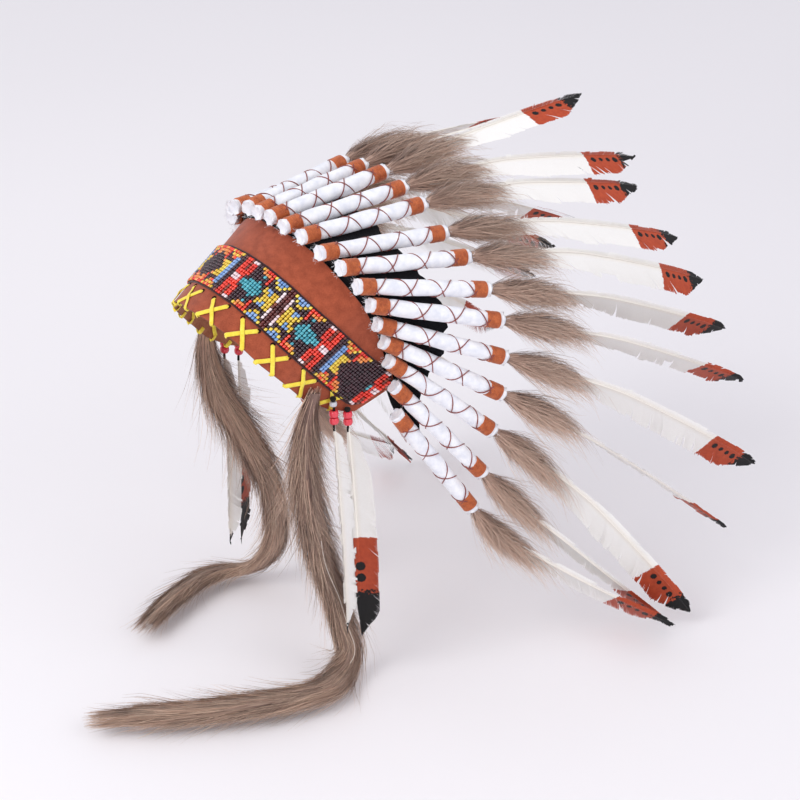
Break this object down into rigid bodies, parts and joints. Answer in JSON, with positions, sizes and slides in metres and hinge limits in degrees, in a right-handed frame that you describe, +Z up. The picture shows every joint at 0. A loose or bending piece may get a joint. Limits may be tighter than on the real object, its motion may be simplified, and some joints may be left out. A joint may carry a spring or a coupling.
{
  "type": "feathered headdress",
  "caption": "Feathered headdress: a suede brow band with a beaded strip, a fan of cloth-wrapped sleeves holding painted plumes, fur tails and bead drops.",
  "frame": {"origin": "Centre of the opening that the head goes into, between the temples.", "axes": "The wearer looks along -Y, +X is the wearer's left and +Z is up. The band leans back 41.4 degrees, with its front rim high on the brow."},
  "size_m": [0.413, 0.6022, 0.4367],
  "materials": {
    "suede": "matte rust-brown suede",
    "beadwork": "woven glass seed beads, dark maroon ground with coloured figures",
    "felt": "black felt",
    "cloth": "white woven cloth, wrapped and bound with orange thread",
    "feather": "white feather with a rust-red painted end, black dots and a black tip",
    "fur": "grey-brown fur with tan ends",
    "red_bead": "gloss, slightly clear"
  },
  "bodies": {
    "root": {"brow_panel": "suede", "beaded_strip": "beadwork", "felt_flange": "felt", "sleeve_centre": "cloth", "sleeve_left_1": "cloth", "sleeve_left_2": "cloth", "sleeve_left_3": "cloth", "sleeve_left_4": "cloth", "sleeve_left_5": "cloth", "sleeve_left_6": "cloth", "sleeve_left_7": "cloth", "sleeve_left_8": "cloth", "sleeve_left_9": "cloth", "sleeve_left_10": "cloth", "sleeve_left_11": "cloth", "sleeve_right_1": "cloth", "sleeve_right_2": "cloth", "sleeve_right_3": "cloth", "sleeve_right_4": "cloth", "sleeve_right_5": "cloth", "sleeve_right_6": "cloth", "sleeve_right_7": "cloth", "sleeve_right_8": "cloth", "sleeve_right_9": "cloth", "sleeve_right_10": "cloth", "sleeve_right_11": "cloth", "plume_centre": "feather", "plume_left_1": "feather", "plume_left_2": "feather", "plume_left_3": "feather", "plume_left_4": "feather", "plume_left_5": "feather", "plume_left_6": "feather", "plume_left_7": "feather", "plume_left_8": "feather", "plume_left_9": "feather", "plume_left_10": "feather", "plume_left_11": "feather", "plume_right_1": "feather", "plume_right_2": "feather", "plume_right_3": "feather", "plume_right_4": "feather", "plume_right_5": "feather", "plume_right_6": "feather", "plume_right_7": "feather", "plume_right_8": "feather", "plume_right_9": "feather", "plume_right_10": "feather", "plume_right_11": "feather", "fur_tail_left": "fur", "fur_tail_right": "fur", "drop_beads_left_front": "red_bead", "drop_beads_left_rear": "red_bead", "drop_beads_right_front": "red_bead", "drop_beads_right_rear": "red_bead", "drop_feather_left_front": "feather", "drop_feather_left_rear": "feather", "drop_feather_right_front": "feather", "drop_feather_right_rear": "feather"}
  },
  "joints": []
}
